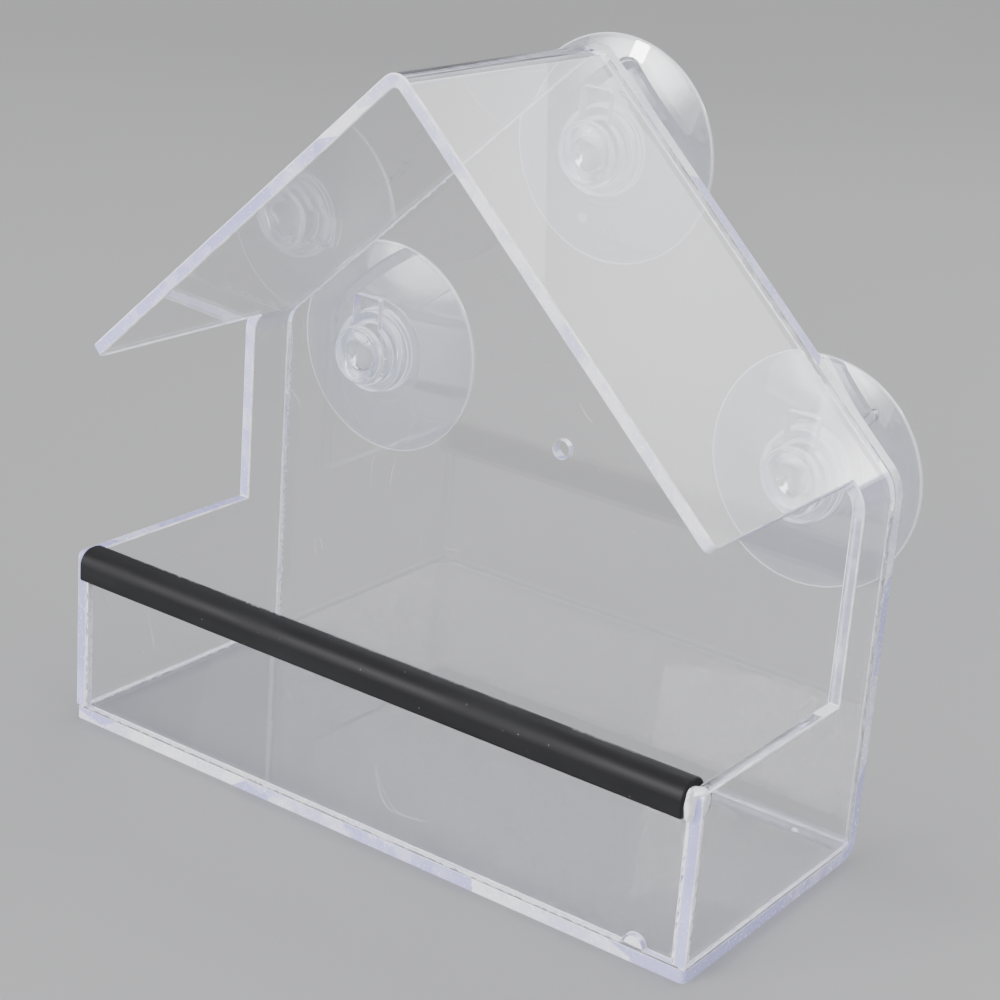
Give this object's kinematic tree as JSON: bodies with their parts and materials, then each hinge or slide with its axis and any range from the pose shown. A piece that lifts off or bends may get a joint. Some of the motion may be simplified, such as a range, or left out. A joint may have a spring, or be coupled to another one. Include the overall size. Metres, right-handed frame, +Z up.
{
  "type": "window bird feeder",
  "caption": "Clear acrylic bird feeder shaped like a small open house, with a seed tray, a rubber-edged perch and suction cups in keyholes that hold it on a window.",
  "frame": {"origin": "middle of the floor's underside, where the feeder stands when it is put down", "axes": "+Z up to the ridge, +Y back to the window that the suction cups hold, -Y out of the open front, +X to the right as seen from the front"},
  "size_m": [0.1514, 0.0718, 0.1479],
  "materials": {
    "clear_acrylic": "clear, glossy faces with frosty pale lavender cut edges",
    "black_rubber": "matte with a soft highlight along the top",
    "clear_pvc": "soft, clear and glossy"
  },
  "bodies": {
    "house": {"back_and_floor_sheet": "clear_acrylic", "roof_and_sides_sheet": "clear_acrylic", "front_panel": "clear_acrylic", "perch_edge_trim": "black_rubber"},
    "cup_top": {"suction_cup_top": "clear_pvc"},
    "cup_left": {"suction_cup_left": "clear_pvc"},
    "cup_right": {"suction_cup_right": "clear_pvc"}
  },
  "joints": [
    {"name": "top_cup_slide", "type": "slide", "parent": "house", "child": "cup_top", "axis": [0, 0, 1], "range_m": [-0.0033, 0.0091]},
    {"name": "left_cup_slide", "type": "slide", "parent": "house", "child": "cup_left", "axis": [0, 0, 1], "range_m": [-0.0033, 0.0091]},
    {"name": "right_cup_slide", "type": "slide", "parent": "house", "child": "cup_right", "axis": [0, 0, 1], "range_m": [-0.0033, 0.0091]}
  ]
}
